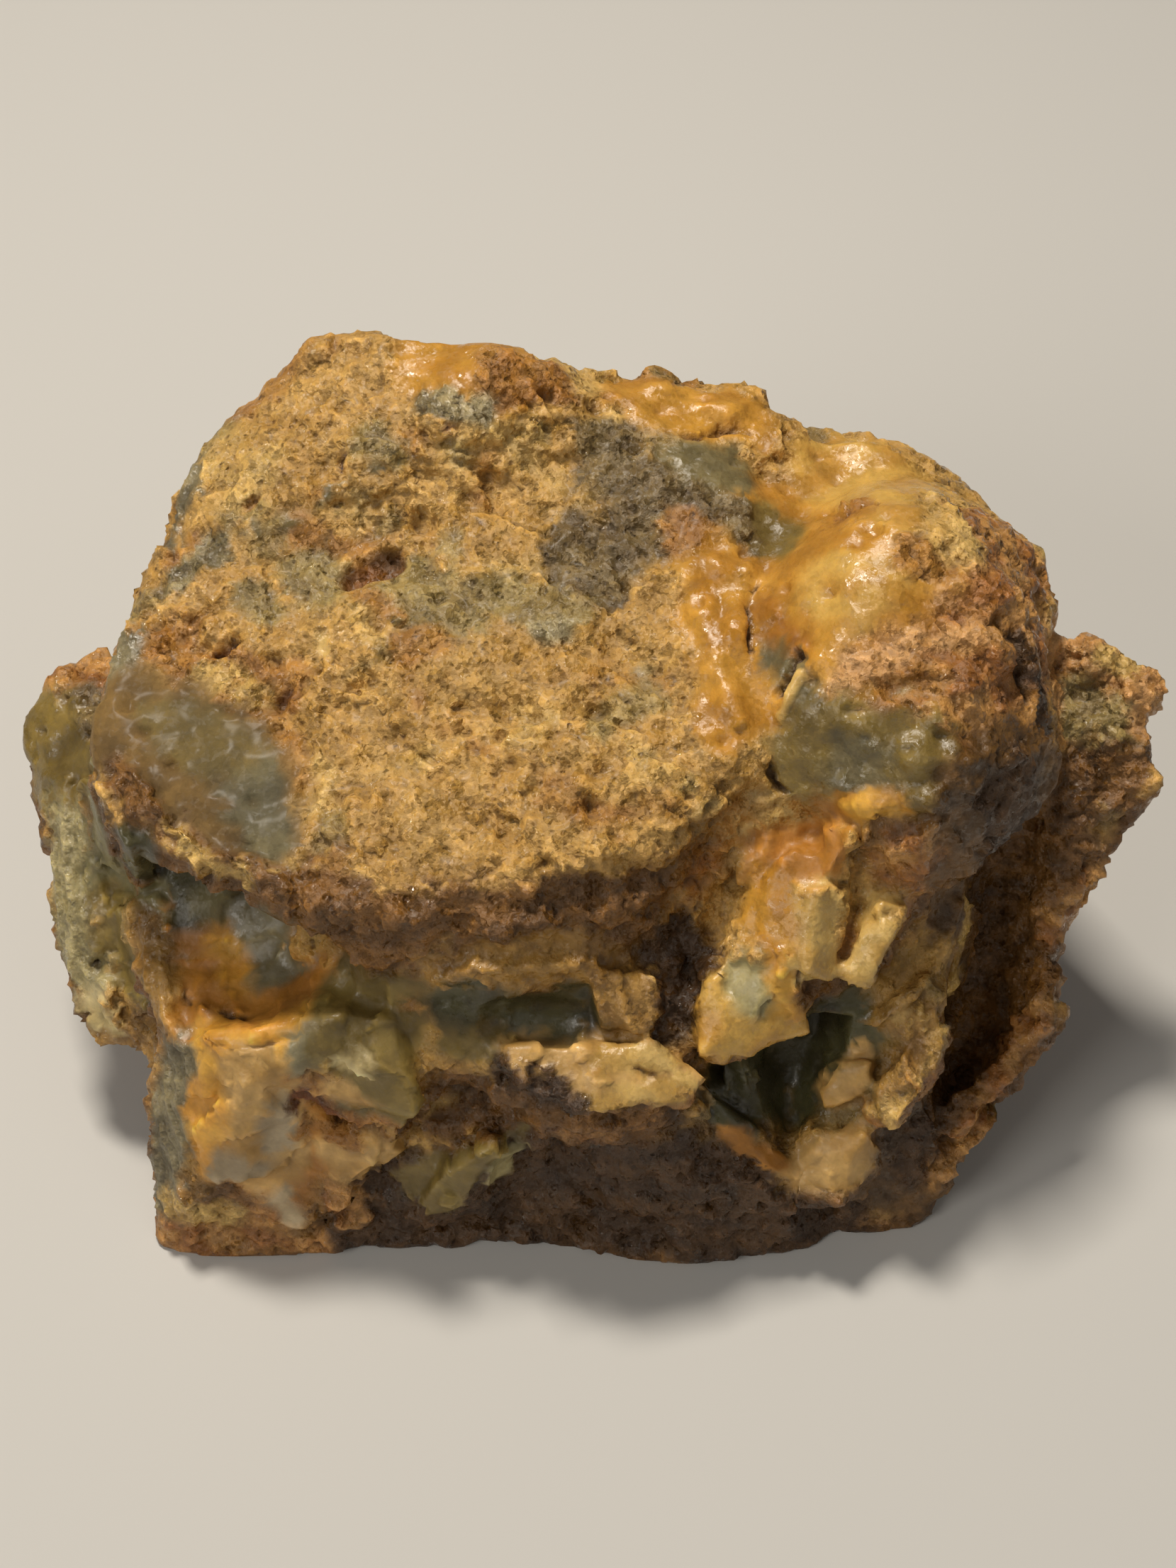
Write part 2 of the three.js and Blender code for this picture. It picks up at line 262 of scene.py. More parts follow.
def add_rib(start, end, width, height, sunk):
    """Adds a long uneven swelling along the line that joins two places of the picture."""
    (a, normal_a), (b, normal_b) = on_stone(*start), on_stone(*end)
    along = (b - a).normalized()
    across = (normal_a + normal_b + back).cross(along).normalized()
    outward = along.cross(across)
    turn = Matrix((along, across, outward)).transposed().to_4x4()
    size = Matrix.Diagonal(((b - a).length / 2 + width * MM / 4, width * MM / 2, height * MM, 1))
    centre = Matrix.Translation((a + b) / 2 - outward * sunk * MM)
    made = bmesh.ops.create_icosphere(skin, subdivisions=2, radius=1, matrix=centre @ turn @ size)
    for corner in made["verts"]:
        place = corner.co / SHAKE_GRAIN
        corner.co += SHAKE * Vector([noise.noise(place + Vector((field,) * 3)) for field in SHAKE_FIELDS])


for rib in RIBS:
    add_rib(*rib)
print(len(RIBS), "ribs added")

# %% [markdown]
# ## One fine skin
# A voxel remesh fills the shape with tiny cubes and wraps a new skin of even quads round them. It melts
# the slivers into the stone and gives every part of it the same fine mesh, which the relief needs. One
# round of smoothing then takes off the steps.

# %% Melt and smooth
VOXEL = 0.46 * MM
SMOOTHING, SMOOTHING_ROUNDS = 0.5, 1


def triangles(surface):
    """How many triangles the faces of a mesh make."""
    return sum(len(face.vertices) - 2 for face in surface.polygons)


def settle(piece):
    """Gives a piece the mesh that its modifiers make, in place of its old one."""
    old = piece.data
    piece.data = bpy.data.meshes.new_from_object(piece.evaluated_get(bpy.context.evaluated_depsgraph_get()))
    piece.modifiers.clear()
    bpy.data.meshes.remove(old)
    piece.data.name = piece.name
    return piece.data


mesh = bpy.data.meshes.new("jasper_stone")
skin.to_mesh(mesh)
skin.free()
stone = bpy.data.objects.new("jasper_stone", mesh)
scene.collection.objects.link(stone)
melt = stone.modifiers.new("melt", "REMESH")
melt.mode, melt.voxel_size = "VOXEL", VOXEL
smooth = stone.modifiers.new("smooth", "SMOOTH")
smooth.factor, smooth.iterations = SMOOTHING, SMOOTHING_ROUNDS
mesh = settle(stone)
print("fine skin:", len(mesh.vertices), "corners,", triangles(mesh), "triangles")

# %% [markdown]
# ## Reading the skin as arrays
# Everything that follows asks a question of each corner of the mesh: where is it, which way does it
# face, how far is it from a place in the picture? numpy answers for all corners at once. Lengths are in
# millimetres from here on.

# %% Corners, normals and neighbours
finder = bmesh.new()
finder.from_mesh(mesh)
tree = BVHTree.FromBMesh(finder)    # from here on, places of the picture are found on the fine skin
finder.free()
count = len(mesh.vertices)


def read_corners(what):
    """What the mesh says of its corners, three numbers for each."""
    values = np.empty(count * 3, np.float32)
    mesh.vertices.foreach_get(what, values)
    return values.reshape(-1, 3).astype(float)


co = read_corners("co") / MM
facing = read_corners("normal")
edges = np.empty(len(mesh.edges) * 2, np.int32)
mesh.edges.foreach_get("vertices", edges)
ends = np.concatenate((edges.reshape(-1, 2), edges.reshape(-1, 2)[:, ::-1]))
links = np.bincount(ends[:, 0], minlength=count)
print("corners:", count, "each with", round(float(links.mean()), 2), "neighbours")

# %% [markdown]
# ## Blurring over the neighbours
# Taking the mean of a corner and its neighbours, again and again, shows what a place is like at large.
# Normals that are blurred a lot tell which way a whole face looks. Blurred a little, they get shorter
# along a sharp edge, because those of its two sides disagree. Such edges keep most of their shape when
# the relief comes.

# %% Broad normals and sharp edges
BROAD, CLOSE = 80, 4                # rounds of blurring for a whole face, and for the nearest neighbours
SHARP, EVEN = 0.78, 0.96            # length of a blurred normal on a sharp edge, and on an even face
EDGE_RELIEF = 0.25                  # share of the relief that a sharp edge still gets


def blurred(values, rounds):
    """The values spread evenly over the neighbours, again and again."""
    for _ in range(rounds):
        values = 0.5 * values + 0.5 * np.bincount(ends[:, 0], values[ends[:, 1]], count) / links
    return values


def blurred_rows(rows, rounds):
    """The same for places or normals, which have three numbers each."""
    return np.stack([blurred(rows[:, k], rounds) for k in range(3)], 1)


def unit(rows):
    """Normals of length 1."""
    return rows / np.linalg.norm(rows, axis=1, keepdims=True)


def step(low, high, values):
    """A soft switch: 0 at low, 1 at high, and no further on either side. Low may be the larger of the two."""
    t = np.clip((values - low) / (high - low), 0, 1)
    return t * t * (3 - 2 * t)


broad = unit(blurred_rows(facing, BROAD))
agreement = np.linalg.norm(blurred_rows(facing, CLOSE), axis=1)
calm = EDGE_RELIEF + (1 - EDGE_RELIEF) * step(SHARP, EVEN, agreement)
print("faces up:", int((broad[:, 2] > 0.5).sum()), "corners; on sharp edges:", int((calm < 0.6).sum()))

# %% [markdown]
# ## Noise
# Stone is uneven at every scale. Blender's noise functions give a smooth random value for any point of
# space. Stretching space before asking makes long grains, and asking for the nearest of many scattered
# points makes cells.

# %% Grain and cells
ORIGIN_STEP = 17.31                 # moves each field to its own part of the endless noise
FADE, FINER = 0.9, 2.1              # how fast the octaves of a grain fade, and how much finer each one is
CELL_STEP = 7.77                    # spreads the cells' points out, so that each draws its own number


def grain(size, field, octaves=1, stretch=(1, 1, 1)):
    """Random swells of about that size in mm, from about -1 to 1.

    A stretch of 2 along an axis doubles their length there.
    """
    places = (co / (size * np.array(stretch)) + ORIGIN_STEP * field).tolist()
    if octaves == 1:
        return np.array([noise.noise(p) for p in places])
    return np.array([noise.fractal(p, FADE, FINER, octaves) for p in places])


def cells(size, field, stretch=(1, 1, 1)):
    """Cells round points that are scattered about that far apart.

    Gives the distance to the nearest point and to the next, and a random number of the nearest.
    """
    places = (co / (size * np.array(stretch)) + ORIGIN_STEP * field).tolist()
    found = [noise.voronoi(p) for p in places]
    nearest = np.array([f[0][0] for f in found])
    second = np.array([f[0][1] for f in found])
    chance = np.array([noise.cell(f[1][0] * CELL_STEP) for f in found]) * 0.5 + 0.5
    return nearest, second, chance


WARP, WARP_FINE = 5, 1.8            # sizes of the swells that bend lines and rims, in mm
warp = np.stack([grain(WARP, field) for field in (1, 2, 3)], 1)
warp_fine = np.stack([grain(WARP_FINE, field) for field in (4, 5, 6)], 1)
print("warp reaches", round(float(np.abs(warp).max()), 2))

# %% [markdown]
# ## Facets
# Broken stone is full of small planes. Here each cell of the noise leans its own way, and of the planes
# that reach a corner the highest one wins, so that the planes meet in edges, as they do on a chipped
# stone.

# %% Facets of two sizes
LEANING = np.array([[12.9, 39.3, 73.2], [78.2, 11.1, 52.2], [37.7, 83.2, 9.15]])
SHUFFLE = 437.58                    # like those of LEANING, any odd number: they shuffle the ways of leaning
FACET_BEND, FACET_LIFT = 0.12, 0.25  # bend of the edges and spread of the heights, as shares of the size


def facets(size, field, steep):
    """The height in mm of small planes of about that size, and a random number of each plane."""
    places = co / size + ORIGIN_STEP * field + FACET_BEND * warp
    found = [noise.voronoi(p)[1] for p in places.tolist()]
    seeds = np.array([[tuple(seed) for seed in four] for four in found])
    lean = (np.sin(seeds @ LEANING) * SHUFFLE) % 1.0 - 0.5
    planes = steep * (lean * (places[:, None, :] - seeds)).sum(2) + FACET_LIFT * lean[:, :, 0]
    top = planes.argmax(1)
    rows = np.arange(count)
    return size * (planes[rows, top] - planes[rows, top].mean()), lean[rows, top, 1] + 0.5


small, shade_small = facets(2.0, 4, steep=1.0)
large, shade_large = facets(6.5, 5, steep=0.9)
print("the facets reach", round(float(np.abs(large).max()), 2), "mm")

# %% [markdown]
# ## Places on the stone
# A patch, a crack or a pit is drawn as a line through a few places of the picture. Each place is found
# on the stone itself, so the patch sits on the surface from every side. Its edge wanders a little,
# because no patch of a stone has a clean rim.

# %% Distance from a line of places
WANDER, WANDER_FINE = 2.4, 1.0      # how far an edge strays, in mm


def away_from(places, wander=1.0):
    """Distance in mm from every corner to a line through places of the picture, with a wandering edge."""
    line = [np.array(on_stone(*place)[0]) / MM for place in places]
    at = co + wander * (WANDER * warp + WANDER_FINE * warp_fine)
    if len(line) == 1:
        return np.linalg.norm(at - line[0], axis=1)
    nearest = np.full(count, np.inf)
    for a, b in zip(line, line[1:]):
        along = np.clip(((at - a) @ (b - a)) / ((b - a) @ (b - a)), 0, 1)
        nearest = np.minimum(nearest, np.linalg.norm(at - a - along[:, None] * (b - a), axis=1))
    return nearest


DOME = (1250, 760)
print("corners within 10 mm of the top of the dome:", int((away_from([DOME], wander=0) < 10).sum()))

# %% [markdown]
# ## A softer step
# The raised back of the top meets the rest of it in a slope here, not in a step. Spreading the corners'
# places over their neighbours many times melts that one edge, and leaves the rest of the stone as it
# is.

# %% Soften the step
STEP_LINE = [(250, 805), (420, 750), (560, 700), (700, 650), (860, 610)]
STEP_EDGE = (9, 4)                  # mm from that line where the melting starts, and where it is full
STEP_ROUNDS = 150
soft = step(*STEP_EDGE, away_from(STEP_LINE, wander=0))[:, None]
co += soft * (blurred_rows(co, STEP_ROUNDS) - co)
print("step softened over", int((soft > 0.5).sum()), "corners")

# %% [markdown]
# ## Finishes
# Each kind of surface on the stone has a main colour, a second colour that clouds it, a roughness and a
# kind of relief. Crust is porous and pitted, wax is smooth with dimples, glass is broken into clean
# planes, crumb is granular, and leaf is split into thin layers. The dull ones are wax that has lost its
# gloss.

# %% Finishes of the stone
FINISHES = {
    # name: main colour, second colour, roughness, kind of relief
    "crust": ("BD944F", "AF8643", 0.50, "crust"),
    "pale crust": ("C8A45E", "BC9651", 0.50, "crust"),
    "rust crust": ("A87837", "99682C", 0.53, "crust"),
    "rosy crust": ("CB9A60", "B6854C", 0.48, "crust"),
    "grey crust": ("9A844F", "887345", 0.45, "crust"),
    "dark crust": ("7A6640", "645234", 0.42, "crust"),
    "waxy yellow": ("C38F38", "AE7A2B", 0.36, "wax"),
    "waxy pale": ("CDA350", "B98A3C", 0.38, "wax"),
    "waxy olive": ("87713A", "705D2E", 0.36, "wax"),
    "waxy grey": ("786B47", "645A3D", 0.36, "wax"),
    "dull brown": ("7A5E2D", "634B22", 0.82, "wax"),
    "dull olive": ("76622F", "605026", 0.80, "wax"),
    "dull grey": ("6E6444", "5B533A", 0.78, "wax"),
    "gold": ("AD7220", "885616", 0.48, "glass"),
    "orange": ("C38532", "A66F28", 0.52, "glass"),
    "honey": ("CBA362", "B18847", 0.50, "glass"),
    "milky": ("B9A583", "9F8B6A", 0.50, "glass"),
    "bright yellow": ("DDA741", "C98F33", 0.50, "glass"),
    "olive": ("786430", "614F23", 0.50, "glass"),
    "olive pale": ("89743A", "705D2C", 0.48, "glass"),
    "sea grey": ("81774E", "6D6542", 0.43, "glass"),
    "blue grey": ("887F60", "72694D", 0.44, "glass"),
    "sparkle": ("A2926A", "6E6142", 0.26, "crumb"),
    "ice": ("B4A673", "94895D", 0.44, "glass"),
    "deep green": ("4C482B", "39341C", 0.41, "glass"),
    # painted shade: laid on the foot under the ledge, the cleft, the gully of the right flank and inside the
    # deep slits
    "shadow brown": ("513617", "3E2811", 0.5, "crumb"),
    "brown": ("805827", "62421B", 0.48, "crumb"),
    "tan crumb": ("B48448", "925F2C", 0.46, "crumb"),
    "cream": ("D1AF68", "B7914A", 0.38, "wax"),
    "cream crumb": ("C9A55E", "AB8542", 0.42, "crumb"),
    "pale leaf": ("B0A274", "8F8259", 0.30, "leaf"),
    "tan leaf": ("A98141", "83602C", 0.4, "leaf"),
    "grey leaf": ("83785A", "695F46", 0.42, "leaf"),
    "brown leaf": ("6D4D23", "503819", 0.46, "leaf"),
    "white": ("E2CE97", "C8B177", 0.48, "glass"),
    "red brown": ("734016", "542E0F", 0.45, "crumb"),
}


def linear(code):
    """A colour written as six hex digits, as linear light."""
    shown = np.array([int(code[k:k + 2], 16) / 255 for k in (0, 2, 4)])
    return np.where(shown > 0.04045, ((shown + 0.055) / 1.055) ** 2.4, shown / 12.92)


KINDS = ("crust", "wax", "glass", "crumb", "leaf")
colour = np.zeros((count, 3))
rough = np.zeros(count)
kind = {name: np.zeros(count) for name in KINDS}
clouds = step(-0.35, 0.35, grain(3.2, 7, octaves=3, stretch=(1.3, 1, 1)))[:, None]


def lay(finish, share):
    """Covers that share of every corner with a finish."""
    main, second, roughness, relief = FINISHES[finish]
    tint = linear(main) * (1 - clouds) + linear(second) * clouds
    colour[:] = colour * (1 - share[:, None]) + tint * share[:, None]
    rough[:] = rough * (1 - share) + roughness * share
    for name in KINDS:
        kind[name] = kind[name] * (1 - share) + share * (name == relief)


print(len(FINISHES), "finishes of", len(KINDS), "kinds")

# %% [markdown]
# ## Ground coat
# The whole stone first gets what covers it most: crust where it faces up, brown crumbly stone on its
# flanks, and clouds of grey and rust over both. The flanks' darker brown is also painted shade, for they
# face away from the light overhead. The hidden back is finished in the same way, with a few fresh
# fracture faces of its own.

# %% Ground coat
upward = step(0.1, 0.5, broad[:, 2] + 0.12 * grain(6, 8))
# brown on the flanks: their own colour, and painted shade as well
lay("brown", np.ones(count))
lay("tan crumb", step(0.1, 0.5, grain(9, 9, octaves=2)))
lay("crust", upward)
lay("pale crust", upward * step(0.05, 0.45, grain(10, 10, octaves=3)))
lay("rust crust", 0.8 * upward * step(0.25, 0.6, grain(8, 11, octaves=3)))
lay("grey crust", 0.8 * upward * step(0.3, 0.55, grain(7, 12, octaves=3)))
toward_back = step(8, 16, co[:, 1] - 0.4 * co[:, 2] + 6 * grain(12, 13))
behind = toward_back * step(0.2, -0.2, broad[:, 2] - 0.35)
lay("tan crumb", behind)
lay("orange", 0.8 * behind * step(0.1, 0.45, grain(16, 14, octaves=3)))
lay("olive", 0.8 * behind * step(0.2, 0.5, grain(14, 15, octaves=3)))
lay("blue grey", 0.6 * behind * step(0.25, 0.6, grain(13, 16, octaves=3)))
print("ground coat laid; at the back:", int((behind > 0.5).sum()), "corners")

# %% [markdown]
# ## Patches
# Each patch is a finish, a radius in mm and a line of places. Later patches lie over earlier ones, so
# each part of the list goes from its broad fields to its small spots. The rims follow the facets, and
# those of small patches wander less.

# %% Patches
PATCHES = [
    # the dome
    ("waxy yellow", 10, [(1120, 760), (1200, 800), (1290, 720)]),
    ("waxy yellow", 8, [(1110, 860), (1230, 860), (1320, 830)]),
    ("waxy pale", 6, [(1200, 670), (1320, 710)]),
    ("waxy pale", 3.5, [(1170, 820), (1220, 840)]),
    ("rosy crust", 5, [(1390, 740), (1400, 860)]),
    ("pale crust", 4, [(1350, 760), (1375, 720)]),
    ("tan crumb", 7, [(1430, 780), (1450, 850), (1420, 910)]),
    ("rosy crust", 5, [(1240, 965), (1340, 950)]),
    ("tan crumb", 5, [(1300, 1000), (1370, 970), (1400, 1030)]),
    ("rust crust", 1.8, [(1225, 990), (1270, 982), (1305, 970)]),
    ("tan crumb", 4, [(1370, 1070), (1440, 1040)]),
    ("rust crust", 1.8, [(1275, 785), (1325, 805)]),
    ("rust crust", 1.2, [(1180, 725), (1220, 715)]),
    ("gold", 2.4, [(1075, 895), (1105, 915)]),
    ("waxy grey", 3.2, [(1080, 960), (1110, 1000), (1140, 1020)]),
    ("waxy olive", 5.0, [(1140, 1060), (1210, 1050), (1280, 1075)]),
    ("waxy grey", 3.0, [(1190, 1085), (1225, 1088)]),
    ("bright yellow", 1.4, [(1185, 1138), (1230, 1140), (1260, 1132)]),
    ("waxy olive", 3.0, [(1080, 750), (1100, 735)]),
    # the sloping top
    ("dark crust", 5, [(860, 650), (920, 680), (900, 740), (830, 790)]),
    ("dark crust", 4, [(960, 690), (1010, 740)]),
    ("waxy grey", 2.8, [(985, 650), (1030, 665)]),
    ("rust crust", 2.4, [(955, 745), (1000, 775)]),
    ("waxy yellow", 4, [(1000, 810), (1015, 900), (1035, 1000)]),
    ("waxy yellow", 5, [(620, 500), (690, 510)]),
    ("rust crust", 3, [(720, 520), (790, 530)]),
    ("waxy yellow", 3.5, [(900, 560), (1040, 580)]),
    ("crust", 5, [(450, 560), (480, 620)]),
    ("sparkle", 1.4, [(610, 563), (650, 575), (690, 578)]),
    ("grey crust", 2.4, [(515, 628), (550, 640)]),
    ("sparkle", 1.0, [(215, 830), (300, 775), (345, 745)]),
    ("waxy grey", 0.7, [(345, 745), (410, 725), (480, 692), (560, 655)]),
    ("sparkle", 1.6, [(290, 780), (315, 765)]),
    ("grey crust", 2.6, [(430, 795), (460, 825)]),
    ("grey crust", 2.0, [(350, 845), (375, 850)]),
    ("grey crust", 3.2, [(580, 840), (660, 860)]),
    ("grey crust", 3.0, [(700, 840), (790, 860)]),
    ("sparkle", 1.4, [(775, 885), (798, 890)]),
    ("rust crust", 3.0, [(250, 925), (330, 960), (400, 985)]),
    ("cream crumb", 1.6, [(285, 950), (350, 975)]),
    ("cream", 0.6, [(462, 908), (468, 915)]),
    ("grey leaf", 1.3, [(305, 600), (265, 690), (230, 760)]),
    ("grey leaf", 1.3, [(195, 820), (178, 900), (165, 985)]),
    ("dull brown", 6.5, [(200, 1030), (290, 1070), (330, 1140)]),
    ("dull olive", 3.0, [(240, 1020), (290, 1040), (330, 1060)]),
    ("dull brown", 2.6, [(230, 1110), (290, 1150)]),
    ("dull grey", 2.6, [(365, 1110), (375, 1170)]),
    # the lip and the shell-shaped hollow at the left
    ("brown", 3.0, [(420, 1265), (560, 1290), (760, 1300), (930, 1260)]),
    ("orange", 6.5, [(270, 1310), (320, 1360), (360, 1400)]),
    # painted shade under the lip, over the hollow's own dark green
    ("deep green", 3.4, [(190, 1195), (240, 1240), (330, 1280), (410, 1295)]),
    ("brown", 2.0, [(165, 1095), (230, 1170), (300, 1225), (410, 1258)]),
    ("cream crumb", 1.2, [(228, 1165), (248, 1180), (290, 1215)]),
    ("cream crumb", 1.0, [(300, 1228), (340, 1236)]),
    ("bright yellow", 2.2, [(315, 1345), (335, 1370)]),
    ("sea grey", 2.0, [(200, 1270), (215, 1370)]),
    ("sea grey", 1.6, [(288, 1270), (310, 1285)]),
    ("blue grey", 2.6, [(360, 1310), (400, 1390)]),
    ("orange", 3.0, [(400, 1415), (470, 1400)]),
    ("olive", 3.2, [(500, 1385), (560, 1395)]),
    ("tan leaf", 3.0, [(200, 1330), (225, 1400), (255, 1460)]),
    # the blades along the left edge
    ("tan crumb", 4, [(100, 955), (150, 945)]),
    ("dark crust", 3, [(95, 1010), (125, 1000)]),
    ("waxy olive", 4.5, [(60, 1030), (78, 1090)]),
    ("pale leaf", 3.6, [(90, 1160), (105, 1250), (112, 1360)]),
    ("sea grey", 3.6, [(118, 1110), (138, 1180), (165, 1245)]),
    ("olive", 2.4, [(100, 1060), (112, 1110)]),
    ("tan leaf", 2.4, [(150, 1475), (210, 1500)]),
    ("white", 1.6, [(130, 1410), (150, 1445)]),
    ("olive pale", 2.6, [(160, 1280), (180, 1390)]),
    # the foot, in painted shade under the ledge
    ("shadow brown", 9, [(580, 1735), (760, 1690), (960, 1690), (1130, 1740)]),
    # the lower left block
    ("orange", 8, [(310, 1500), (330, 1600), (380, 1620)]),
    ("bright yellow", 4.0, [(300, 1490), (285, 1560), (285, 1620)]),
    ("bright yellow", 2.4, [(350, 1480), (420, 1450), (470, 1435)]),
    ("blue grey", 2.8, [(425, 1480), (455, 1465)]),
    ("honey", 4.2, [(365, 1530), (390, 1590), (375, 1660)]),
    ("milky", 1.4, [(395, 1560), (400, 1610)]),
    ("olive pale", 5.0, [(500, 1450), (540, 1500), (550, 1570)]),
    ("olive", 2.2, [(540, 1420), (565, 1450)]),
    ("honey", 1.2, [(470, 1540), (520, 1565)]),
    ("white", 0.7, [(482, 1497), (512, 1508)]),
    ("honey", 3.0, [(480, 1630), (540, 1640)]),
    ("rust crust", 1.2, [(430, 1580), (490, 1600)]),
    ("milky", 1.6, [(395, 1690), (410, 1710)]),
    ("milky", 2.0, [(300, 1650), (335, 1660)]),
    ("grey leaf", 2.2, [(244, 1480), (230, 1600), (238, 1720)]),
    ("tan crumb", 2.2, [(250, 1742), (340, 1750), (440, 1750)]),
    ("cream crumb", 1.8, [(255, 1705), (330, 1718)]),
    ("tan crumb", 1.8, [(480, 1690), (505, 1710)]),
    ("red brown", 1.5, [(420, 1548), (470, 1572)]),
    ("olive pale", 3.2, [(610, 1700), (660, 1655), (700, 1625)]),
    ("ice", 1.2, [(725, 1640), (722, 1668)]),
    ("brown", 3.0, [(640, 1590), (700, 1565)]),
    # the front ledge
    ("brown", 6, [(480, 1310), (650, 1325), (850, 1320)]),
    ("tan leaf", 3.4, [(620, 1375), (760, 1365), (840, 1365)]),
    ("tan leaf", 3.4, [(860, 1380), (910, 1410), (890, 1450)]),
    ("deep green", 3.8, [(650, 1425), (740, 1430), (800, 1430)]),
    ("olive", 2.4, [(640, 1470), (700, 1480)]),
    ("honey", 2.8, [(750, 1500), (860, 1505), (950, 1515)]),
    ("cream", 1.3, [(860, 1492), (930, 1500)]),
    ("cream", 1.0, [(840, 1556), (900, 1550), (965, 1535)]),
    ("shadow brown", 2.0, [(720, 1530), (790, 1550)]),
    # the wedge, the fingers and the cleft
    ("shadow brown", 4, [(960, 1350), (950, 1420)]),
    ("orange", 4.0, [(1110, 1200), (1150, 1200)]),
    ("waxy yellow", 3.5, [(1080, 1280), (1110, 1300)]),
    ("waxy pale", 4.5, [(1020, 1450), (1090, 1440)]),
    ("ice", 2.6, [(1060, 1395), (1140, 1385)]),
    ("white", 0.6, [(1110, 1412), (1135, 1414)]),
    ("bright yellow", 1.6, [(1112, 1350), (1122, 1420)]),
    ("brown", 2.4, [(1150, 1400), (1195, 1405)]),
    ("deep green", 5, [(1060, 1540), (1130, 1500), (1200, 1460)]),
    ("cream", 2.3, [(1150, 1270), (1162, 1360)]),
    ("cream", 1.9, [(1250, 1285), (1208, 1368)]),
    ("tan crumb", 2.2, [(1255, 1220), (1320, 1165)]),
    ("tan leaf", 2.0, [(1365, 1285), (1345, 1380), (1260, 1440)]),
    ("tan leaf", 2.0, [(1330, 1440), (1250, 1555)]),
    ("honey", 2.0, [(1210, 1505), (1178, 1550)]),
    ("honey", 3.2, [(1130, 1660), (1215, 1625)]),
    ("orange", 1.0, [(1045, 1605), (1100, 1645)]),
    # the right flank and the knob
    ("brown leaf", 8, [(1400, 1130), (1390, 1280), (1350, 1480), (1300, 1640)]),
    ("shadow brown", 4, [(1420, 1120), (1420, 1300), (1375, 1480), (1310, 1620)]),
    ("cream crumb", 1.0, [(1368, 1285), (1345, 1385), (1262, 1438)]),
    ("cream crumb", 1.0, [(1335, 1440), (1300, 1520), (1245, 1560)]),
    ("brown", 6, [(1480, 1180), (1440, 1400), (1380, 1600)]),
    ("tan crumb", 1.8, [(1540, 1245), (1480, 1320)]),
    ("tan crumb", 1.8, [(1475, 1420), (1420, 1490), (1410, 1570), (1350, 1665)]),
    ("rosy crust", 7, [(1520, 950), (1580, 980)]),
    ("grey crust", 3, [(1530, 1000), (1560, 1040)]),
    ("brown", 4, [(1530, 1100), (1580, 1110)]),
    ("cream crumb", 1.2, [(1560, 918), (1600, 935)]),
    ("shadow brown", 1.2, [(1440, 905), (1465, 960), (1478, 1020)]),
]
LEAST_WANDER = 0.2                  # how far the rim of the smallest patch wanders, as a share of WANDER
WHOLE_WANDER = 6                    # the radius in mm that adds a whole WANDER to it


def rim(radius):
    """Distances from a patch's line, in mm, where it ends and where it covers fully."""
    return radius * 1.15 + 0.25, radius * 0.78 - 0.15


for finish, radius, places in PATCHES:
    away = away_from(places, wander=min(1.0, LEAST_WANDER + radius / WHOLE_WANDER))
    away = away + (shade_small - 0.5) + (shade_large - 0.5)
    lay(finish, step(*rim(radius), away))
print(len(PATCHES), "patches laid")

# %% [markdown]
# ## Flake scars
# Quartz breaks in shells: each blow takes off a flake and leaves a shallow bowl, and where two bowls
# meet stands a sharp edge. So the fresh faces get some two hundred shallow bowls of random size and
# tilt, and the foot a few larger ones. A bowl is part of a big ball outside the stone, and every corner
# that lies inside the ball is pushed out to its surface.

# %% Knock off flakes
FLAKES = 240
FLAKE_WIDTH = (1.5, 4.5)            # smallest and largest radius of a scar, in mm
FLAKE_DEPTH = (0.04, 0.09)          # depth as a share of that radius
FLAKE_TILT = 0.22                   # how far a blow strays from the way that the face looks
FOOT_LINE = [(600, 1700), (760, 1680), (960, 1680), (1060, 1700)]
FOOT_EDGE = (9, 6)                  # mm from that line where the foot ends, and where it is whole
FOOT_FLAKES = 16
FOOT_WIDTH, FOOT_DEPTH, FOOT_TILT = (3, 6), 0.10, 0.3
REACH, LONGEST_PUSH = 2.2, 1.6      # how far a blow is felt, in radii, and moves a corner, in depths
luck = np.random.default_rng(11)
moved = co.copy()


def knock_off(at, away, width, depth, share):
    """Takes a flake off at a place: a bowl of that width and depth in mm, facing that way."""
    away = away / np.linalg.norm(away)
    radius = (width ** 2 + depth ** 2) / (2 * depth)
    centre = at + away * (radius - depth)
    near = np.flatnonzero(((moved - at) ** 2).sum(1) < (REACH * width) ** 2)
    out = moved[near] - centre
    length = np.linalg.norm(out, axis=1, keepdims=True)
    push = np.clip(radius - length, 0, LONGEST_PUSH * depth) * share[near, None]
    moved[near] += out / length * push


fresh = kind["glass"] + 0.55 * kind["leaf"] + 0.45 * kind["crumb"]
brittle = np.clip(fresh, 0, 1) * calm
for corner in luck.choice(count, FLAKES, p=fresh / fresh.sum()):
    width = luck.uniform(*FLAKE_WIDTH)
    tilt = broad[corner] + luck.normal(0, FLAKE_TILT, 3)
    knock_off(moved[corner], tilt, width, width * luck.uniform(*FLAKE_DEPTH), brittle)
foot = step(*FOOT_EDGE, away_from(FOOT_LINE))
for corner in luck.choice(count, FOOT_FLAKES, p=foot / foot.sum()):
    width = luck.uniform(*FOOT_WIDTH)
    tilt = broad[corner] + luck.normal(0, FOOT_TILT, 3)
    knock_off(moved[corner], tilt, width, FOOT_DEPTH * width, foot)
deepest = np.linalg.norm(moved - co, axis=1).max()
print(FLAKES + FOOT_FLAKES, "flakes off; deepest", round(float(deepest), 2), "mm")

